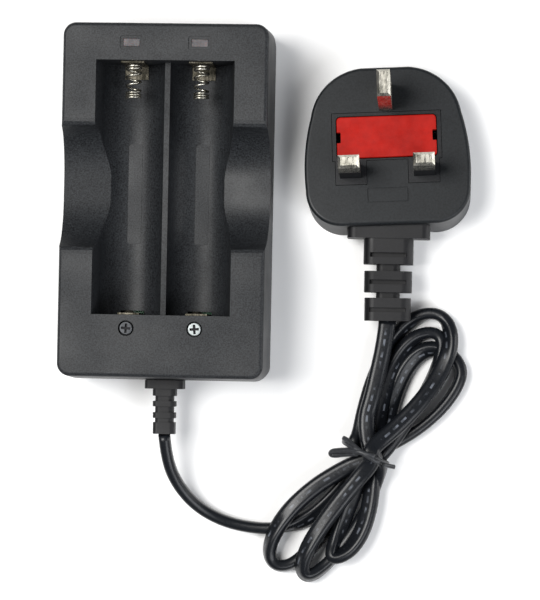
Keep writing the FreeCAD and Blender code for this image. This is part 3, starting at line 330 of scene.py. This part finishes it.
def make_materials():
    """Every finish by name: the record's slots, and boot_pvc and shaded_nickel_sheet beside them, the last
    being nickel darkened with painted shade.
    """
    # darkest colour, lightest colour, roughness, grain in millimetres, its depth in millimetres
    moulds = {
        "case_plastic": ((0.002, 0.002, 0.003), (0.026, 0.029, 0.032), 0.50, 0.42, 0.05),
        "plug_pvc": ((0.004, 0.005, 0.006), (0.011, 0.013, 0.015), 0.46, 0.55, 0.03),
        "boot_pvc": ((0.003, 0.003, 0.004), (0.007, 0.007, 0.008), 0.50, 0.55, 0.03),
        "insert_nylon": ((0.004, 0.004, 0.005), (0.010, 0.011, 0.013), 0.44, 0.7, 0.02),
    }
    # darkest colour, lightest colour, roughness, and how the noise is stretched along X, Y and Z
    metals = {
        "nickel": ((0.26, 0.25, 0.21), (0.52, 0.50, 0.44), 0.30, (1.0, 0.12, 1.0)),
        # The contact sheets' nickel below is painted shade: it is made far darker than the nickel above,
        # for the shade that the springs and end walls cast on the sheets.
        "shaded_nickel_sheet": ((0.030, 0.028, 0.020), (0.085, 0.078, 0.062), 0.48, (1.0, 0.2, 1.0)),
        "brass": ((0.48, 0.34, 0.12), (0.80, 0.63, 0.28), 0.28, (1.0, 1.0, 0.12)),
    }
    # darkest colour, lightest colour, roughness, and where they differ from usual
    # the grain, its depth and the specular level
    skins = {
        "red_carrier": ((0.30, 0.006, 0.003), (0.36, 0.008, 0.004), 0.55, 2.4, 0.03, 0.15),
        "tie_pvc": ((0.016, 0.017, 0.019), (0.034, 0.036, 0.040), 0.36, 0.8, 0.03),
        "ceramic": ((0.66, 0.64, 0.58), (0.86, 0.85, 0.80), 0.25),
        "ferrite": ((0.05, 0.05, 0.055), (0.11, 0.11, 0.115), 0.7),
        "winding_tape": ((0.60, 0.44, 0.05), (0.82, 0.66, 0.14), 0.3),
        "capacitor_sleeve": ((0.015, 0.02, 0.05), (0.04, 0.05, 0.10), 0.3),
        "component_black": ((0.015, 0.015, 0.017), (0.05, 0.05, 0.05), 0.55),
        "resistor_body": ((0.18, 0.30, 0.32), (0.34, 0.46, 0.48), 0.4),
        "led_epoxy": ((0.62, 0.64, 0.60), (0.84, 0.86, 0.82), 0.2),
        "wire_brown": ((0.12, 0.05, 0.02), (0.24, 0.11, 0.05), 0.35),
        "wire_blue": ((0.02, 0.10, 0.34), (0.05, 0.18, 0.52), 0.35),
    }
    made = {
        "screw_steel": screw_material(),
        "milky_window": lens_material(),
        "board_laminate": board_material(),
        "lead_pvc": lead_material(),
    }
    for make, table in ((moulded, moulds), (brushed, metals), (polished, skins)):
        for name, finish in table.items():
            made[name] = make(name, *finish)
    return made


# ---------------------------------------------------------------- mesh helpers

def line_through(name, points, around=False, steps=8):
    """Points read from one NURBS curve that has these control points, less those that repeat."""
    closest = 0.02 * MM
    curve = bpy.data.curves.new(name, "CURVE")
    curve.dimensions = "3D"
    curve.resolution_u = steps
    spline = curve.splines.new("NURBS")
    spline.points.add(len(points) - 1)
    for control, point in zip(spline.points, points):
        control.co = (*point, 1.0)
    spline.order_u = 3
    spline.use_endpoint_u = not around
    spline.use_cyclic_u = around
    guide = placed(name, curve)
    bpy.context.view_layer.update()
    read = bpy.data.meshes.new_from_object(guide)
    line = []
    for vertex in read.vertices:
        if not line or (vertex.co - line[-1]).length > closest:
            line.append(vertex.co.copy())
    bpy.data.objects.remove(guide)
    bpy.data.curves.remove(curve)
    bpy.data.meshes.remove(read)
    return line


def outline(half_wide, half_thick, count=24, power=2.6, dip=0.0):
    """A flat oval section, between an ellipse and a stadium, with a shallow dip along its flats."""
    ring = []
    for step in range(count):
        angle = 2 * math.pi * step / count
        across, up = math.cos(angle), math.sin(angle)
        wide = half_wide * math.copysign(abs(across) ** (2 / power), across)
        thick = half_thick * math.copysign(abs(up) ** (2 / power), up)
        ring.append((wide, thick * (1 - dip * (1 - abs(across)) ** 2)))
    return ring


def sweep(name, line, section, rolls=None, around=False):
    """A tube of that section along a line. A roll of 0 lies flat, and of a right angle stands on edge."""
    count, sides = len(line), len(section)
    mesh = bmesh.new()
    texture_place = mesh.loops.layers.uv.new("along")
    rings, runs, run = [], [], 0.0
    for i, point in enumerate(line):
        before = line[i - 1] if i or around else point
        after = line[(i + 1) % count] if i + 1 < count or around else point
        run += (point - line[i - 1]).length if i else 0.0
        runs.append(run)
        along = (after - before).normalized()
        level = along.cross(Vector((0, 0, 1)))
        if level.length < 0.05:
            level = along.cross(Vector((0, 1, 0)))
        level.normalize()
        up = level.cross(along).normalized()
        turn = Matrix.Rotation(rolls[i] if rolls else 0.0, 3, along)
        wide, thick = turn @ level, turn @ up
        rings.append([mesh.verts.new(point + wide * a + thick * b) for a, b in section])
    last = count if around else count - 1
    for i in range(last):
        one, two = rings[i], rings[(i + 1) % count]
        for k in range(sides):
            face = mesh.faces.new((one[k], one[(k + 1) % sides], two[(k + 1) % sides], two[k]))
            face.smooth = True
            far = runs[i + 1] if i + 1 < count else run
            places = ((runs[i], k), (runs[i], k + 1), (far, k + 1), (far, k))
            for loop, (u, v) in zip(face.loops, places):
                loop[texture_place].uv = (u, v / sides)
    if not around:
        mesh.faces.new(rings[0])
        mesh.faces.new(list(reversed(rings[-1])))
    bmesh.ops.recalc_face_normals(mesh, faces=mesh.faces)
    return object_from(name, mesh)


def object_from(name, mesh):
    """A finished bmesh as an object."""
    data = bpy.data.meshes.new(name)
    mesh.to_mesh(data)
    mesh.free()
    return placed(name, data)


def join(name, pieces):
    """Several meshes as one piece."""
    whole = bmesh.new()
    for piece in pieces:
        whole.from_mesh(piece.data)
        bpy.data.objects.remove(piece)
    return object_from(name, whole)


# ---------------------------------------------------------------- the mains lead

CHARGER_LEAD = (
    (0.0, -69.8, 14.0), (0.7, -77.5, 12.4), (3.8, -85.4, 8.7), (9.6, -92.2, 5.0),
    (17.8, -96.6, 3.0), (27.0, -98.4, 2.7), (34.0, -98.3, 2.75),
)
LEAD_TO_TIE = ((42.5, -95.8, 2.1), (50.0, -89.5, 2.1), (56.5, -81.5, 2.6))
TIE_TO_PLUG = (
    (60.6, -64.6, 8.3), (62.7, -57.4, 8.6), (64.4, -49.2, 8.5), (66.1, -41.0, 9.1), (66.8, -34.1, 9.4),
)
LEAD_WIDE, LEAD_THICK = 5.2, 3.8

# The hank: the lead goes through the tie seven times, and six loops of different sizes fan out
# between the passes. A pass is its place across the bundle and its height.
TIE_CENTRE = (61.5, -74.0)
BUNDLE_HEADING = 62.0
PASSES = ((1.5, 3.4), (-3.2, 3.8), (0.0, 7.0), (-3.0, 7.4), (5.2, 6.0), (-1.0, 13.0), (-1.0, 10.0))
# heading, length, width of first leg and second, bow, offset of first leg and second,
# then the heights on the way, and how far the first leg, the tip and the second leg stand on edge
LOOPS = (
    (36, 38.4, 19.5, 5.9, 5.4, -6.5, -1.2, (2.5, 2.3, 2.8, 2.8, 2.8), (0.2, 0.9, 1.0)),
    (-107, 34.2, 7.8, 0.8, -0.6, 1.2, 0.6, (5.8, 6.2, 6.0, 4.2, 5.4), (0.3, 0.8, 0.3)),
    (58, 41.8, 11.4, 4.8, 1.0, -2.9, -4.2, (4.8, 3.4, 2.8, 3.8, 5.8), (0.4, 1.0, 0.8)),
    (-139, 44.8, -7.2, -11.1, 7.1, 2.2, -0.9, (6.8, 6.2, 3.4, 2.3, 2.7), (0.0, 0.9, 0.8)),
    (62, 47.4, 11.4, 11.0, 0.8, 4.0, 0.3, (3.2, 2.3, 2.8, 6.4, 10.0), (0.9, 1.0, 0.0)),
    (-104, 42.0, -8.2, -3.6, -7.8, 3.5, 5.4, (9.8, 8.2, 4.8, 2.4, 3.8), (0.0, 0.7, 1.0)),
)
POINTS_PER_LOOP = 12


def pass_point(across, height):
    """Where the lead goes through the tie, across the bundle from its centre."""
    side = math.radians(BUNDLE_HEADING + 90)
    return (TIE_CENTRE[0] + across * math.cos(side), TIE_CENTRE[1] + across * math.sin(side), height)


def between(values, share):
    """A smooth value at a share of the way through a list of evenly spaced ones."""
    place = share * (len(values) - 1)
    i = min(int(place), len(values) - 2)
    ease = (1 - math.cos(math.pi * (place - i))) / 2
    return values[i] + (values[i + 1] - values[i]) * ease


def loop_points(loop, low_in, low_out):
    """Control points of one drop-shaped loop, out from the tie along one leg and back along the other."""
    heading, length, wide_out, wide_back, bow, from_tie, to_tie, heights, _ = loop
    ahead = math.radians(heading)
    points = []
    for step in range(1, POINTS_PER_LOOP + 1):
        share = step / (POINTS_PER_LOOP + 1)
        turn = 2 * math.pi * share
        out = turn < math.pi
        reach = (1 - math.cos(turn)) / 2
        spread = (wide_out if out else wide_back) * math.sin(turn) * math.sin(turn / 2)
        spread += bow * reach ** 2 + (from_tie if out else to_tie) * (1 - reach)
        x = TIE_CENTRE[0] + length * reach * math.cos(ahead) - spread * math.sin(ahead)
        y = TIE_CENTRE[1] + length * reach * math.sin(ahead) + spread * math.cos(ahead)
        points.append((x, y, between((low_in, *heights, low_out), share)))
    return points


def lead_route():
    """The whole lead's control points, in metres, and how far it stands on edge at each."""
    route = [*CHARGER_LEAD, *LEAD_TO_TIE]
    edges = [1.0] * len(CHARGER_LEAD) + [0.6, 0.2, 0.0]
    for i, loop in enumerate(LOOPS):
        first, tip, second = loop[-1]
        route.append(pass_point(*PASSES[i]))
        edges.append(first)
        route.extend(loop_points(loop, PASSES[i][1], PASSES[i + 1][1]))
        shares = [step / (POINTS_PER_LOOP + 1) for step in range(1, POINTS_PER_LOOP + 1)]
        edges.extend(between((first, first, tip, second, second), share) for share in shares)
    route.append(pass_point(*PASSES[-1]))
    route.extend(TIE_TO_PLUG)
    edges.extend([0.3] + [0.0] * len(TIE_TO_PLUG))
    return [mm(*point) for point in route], edges


def lead_rolls(line, edges):
    """Turn the flat lead on edge where it should be, as far as its height over the floor allows."""
    flat, edge = LEAD_THICK / 2 * MM, LEAD_WIDE / 2 * MM
    rolls = []
    for i, point in enumerate(line):
        wanted = math.radians(90) * between(edges, i / (len(line) - 1))
        room = min(max((point.z ** 2 - flat ** 2) / (edge ** 2 - flat ** 2), 0.0), 1.0)
        rolls.append(min(wanted, math.asin(math.sqrt(room))))
    window, excess = 4, 0.05
    smooth = []
    for i, roll in enumerate(rolls):
        near = rolls[max(i - window, 0):i + window + 1]
        smooth.append(min(sum(near) / len(near), roll + excess))
    return smooth


def make_lead():
    section = outline(LEAD_WIDE / 2 * MM, LEAD_THICK / 2 * MM, count=28, dip=0.10)
    route, edges = lead_route()
    line = line_through("lead_line", route)
    lead = sweep("mains_lead", line, section, lead_rolls(line, edges))
    lead.data.materials.append(MATERIALS["lead_pvc"])
    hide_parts("charger_lead", "cord_hank", "plug_lead")
    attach(lead, "charger")
    length = sum((b - a).length for a, b in zip(line, line[1:]))
    print("lead length", round(length, 4))
    return lead, line


# The tie's ends: a radius, then the route from the top of the bundle, measured from the tie's centre.
TIE_ENDS = {
    "fold": (
        0.85,
        (3.0, -1.0, 16.3), (-0.6, 0.3, 16.6), (-4.2, 0.9, 14.6), (-8.0, 0.6, 12.2), (-10.0, 0.3, 10.6),
        (-10.6, -0.5, 9.8), (-9.6, -1.0, 9.8), (-6.4, -0.4, 11.4), (-2.4, -0.1, 14.6),
    ),
    "short": (
        0.74,
        (4.4, -2.8, 15.6), (1.0, -0.9, 16.9), (-2.4, 1.4, 15.6), (-4.8, 3.6, 13.6), (-6.6, 4.4, 12.0),
    ),
    "cut_end": (0.65, (5.6, -3.3, 14.4), (7.4, -3.7, 12.6), (8.9, -4.0, 11.8)),
}


def round_wire(radius):
    """The section of a round wire of that radius in millimetres."""
    return outline(radius * MM, radius * MM, 12, 2.0)


def make_tie():
    """A PVC-covered wire wrapped once round the bundle, with a folded end and a short one on the left."""
    centre = mm(60.9, -74.4)
    wire, squareness, steps = 0.8, 0.85, 20
    slant = math.radians(-26.0)
    across = Vector((math.cos(slant), math.sin(slant), 0))
    half, low, high = 7.3, wire, 15.9
    points = []
    for step in range(steps):
        angle = 2 * math.pi * step / steps
        side = math.copysign(abs(math.cos(angle)) ** squareness, math.cos(angle))
        height = (high + low) / 2 + (high - low) / 2 * math.sin(angle)
        points.append(centre + across * half * side * MM + mm(0, 0, height))
    wrap = line_through("tie_line", points, around=True)
    pieces = [sweep("tie_wrap", wrap, round_wire(wire), around=True)]
    for name, (radius, *route) in TIE_ENDS.items():
        points = [centre + mm(*point) for point in route]
        pieces.append(sweep("tie_" + name, line_through("tie_line", points), round_wire(radius)))
    tie = join("twist_tie_wire", pieces)
    tie.data.materials.append(MATERIALS["tie_pvc"])
    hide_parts("twist_tie")
    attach(tie, "charger")
    return tie


# ---------------------------------------------------------------- contact springs

def make_spring(side):
    """Round wire: closed coils at both ends, and open ones between."""
    low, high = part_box("negative_spring_" + side)
    tip_low, tip_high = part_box("negative_spring_tip_" + side)
    wire = 0.36 * MM
    centre_x, centre_z = (low.x + high.x) / 2, (low.z + high.z) / 2
    coil = (high.x - low.x) / 2 - wire
    open_end = tip_high.y - 0.2 * MM
    # turns so far, and the place along the bay
    stations = (
        (0.0, high.y - wire),
        (1.6, high.y - wire - 1.3 * MM),
        (4.2, open_end),
        (6.6, tip_low.y + wire),
    )
    points = []
    steps = 12
    for (turn_a, y_a), (turn_b, y_b) in zip(stations, stations[1:]):
        count = round((turn_b - turn_a) * steps)
        for step in range(count):
            share = step / count
            angle = 2 * math.pi * (turn_a + (turn_b - turn_a) * share)
            x, z = centre_x + coil * math.cos(angle), centre_z + coil * math.sin(angle)
            points.append(Vector((x, y_a + (y_b - y_a) * share, z)))
    line = line_through("spring_line", points, steps=4)
    spring = sweep("contact_spring_" + side, line, outline(wire, wire, 10, 2.0))
    spring.data.materials.append(MATERIALS["nickel"])
    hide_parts("negative_spring_" + side, "negative_spring_tip_" + side)
    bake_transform(spring)


# ---------------------------------------------------------------- build

BOOTS = ("plug_strain_relief", "charger_strain_relief")

# Width in millimetres of the small rounding on each node's moulded or sheared edges.
SOFT_EDGES = {
    "top_cover": 0.45,
    "plug_strain_relief": 0.7,
    "charger_strain_relief": 0.5,
    "plug_insert": 0.15,
    "live_pin": 0.12,
    "neutral_pin": 0.12,
    "earth_pin": 0.12,
}


def soften(node, width):
    """A narrow rounding along the sharp edges, so that they catch the light."""
    least_turn = math.radians(38)
    rounding = node.modifiers.new("soft_edges", "BEVEL")
    rounding.width = width
    rounding.segments = 2
    rounding.limit_method = "ANGLE"
    rounding.angle_limit = least_turn
    rounding.use_clamp_overlap = True


def finish_of(name, slots):
    """The record's slot for a node, except that boots have a finish of their own and contact sheets get
    nickel darkened with painted shade.
    """
    if name in BOOTS:
        return "boot_pvc"
    if "contact" in name:
        return "shaded_nickel_sheet"
    return slots[name]


def dress_nodes():
    """Each carried-over node gets its finish, and some get softer edges."""
    slots = {part["node"]: part["material_slot"] for part in frame["record"]["subparts"]}
    for name, node in NODES.items():
        node.data.materials.clear()
        node.data.materials.append(MATERIALS[finish_of(name, slots)])
        if name in SOFT_EDGES:
            soften(node, SOFT_EDGES[name] * MM)


make_camera()
MATERIALS = make_materials()
make_floor()
make_lights()
dress_nodes()
LEAD, LEAD_LINE = make_lead()
TIE = make_tie()
for spring_side in ("left", "right"):
    make_spring(spring_side)
